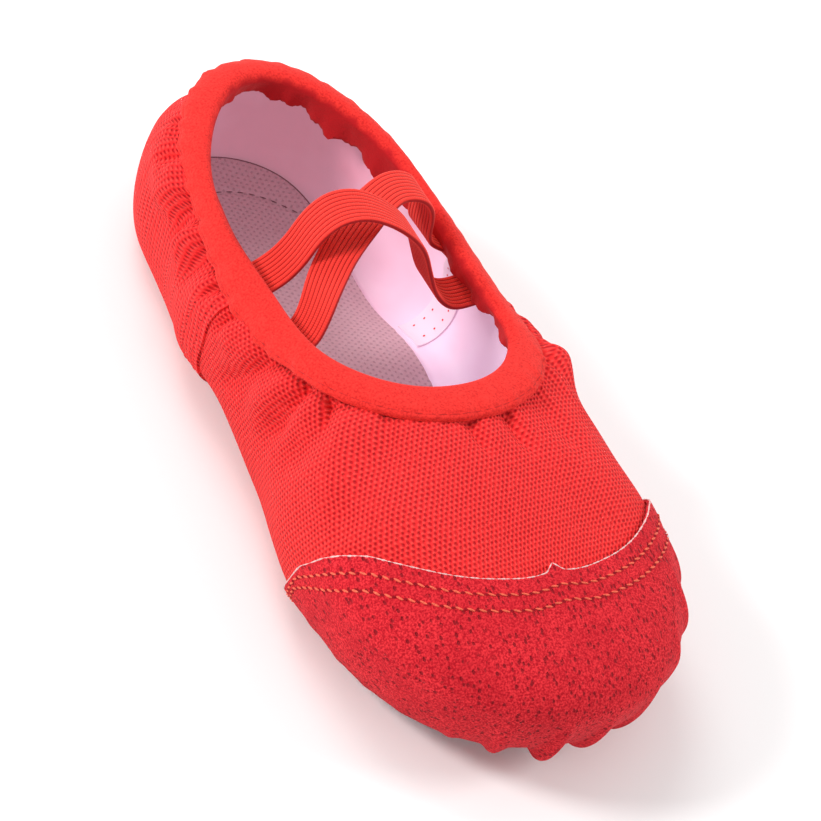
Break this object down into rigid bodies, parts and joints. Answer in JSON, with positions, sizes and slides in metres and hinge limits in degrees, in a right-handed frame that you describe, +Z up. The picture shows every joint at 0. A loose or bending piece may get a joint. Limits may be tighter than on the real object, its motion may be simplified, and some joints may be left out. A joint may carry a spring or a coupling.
{
  "type": "dance practice slipper",
  "caption": "Soft canvas dance slipper with a pleated suede toe cap, bound collar, crossed elastic straps and a split suede sole.",
  "frame": {"origin": "on the floor under the middle of the shoe's length and width", "axes": "+X towards the toe, +Y to the wearer's left, +Z up from the floor"},
  "size_m": [0.18, 0.08, 0.0536],
  "materials": {
    "canvas": "coarse plain weave, matt",
    "toe_suede": "pored pigskin suede",
    "binding": "fine cotton tape",
    "elastic": "ribbed elastic",
    "insole": "dimpled mesh",
    "sole_suede": "pale split suede"
  },
  "bodies": {
    "root": {"upper": "canvas", "toe_cap": "toe_suede", "collar_binding": "binding", "elastic_strap_over": "elastic", "elastic_strap_under": "elastic", "insole": "insole", "forefoot_sole": "sole_suede", "heel_sole": "sole_suede"}
  },
  "joints": []
}
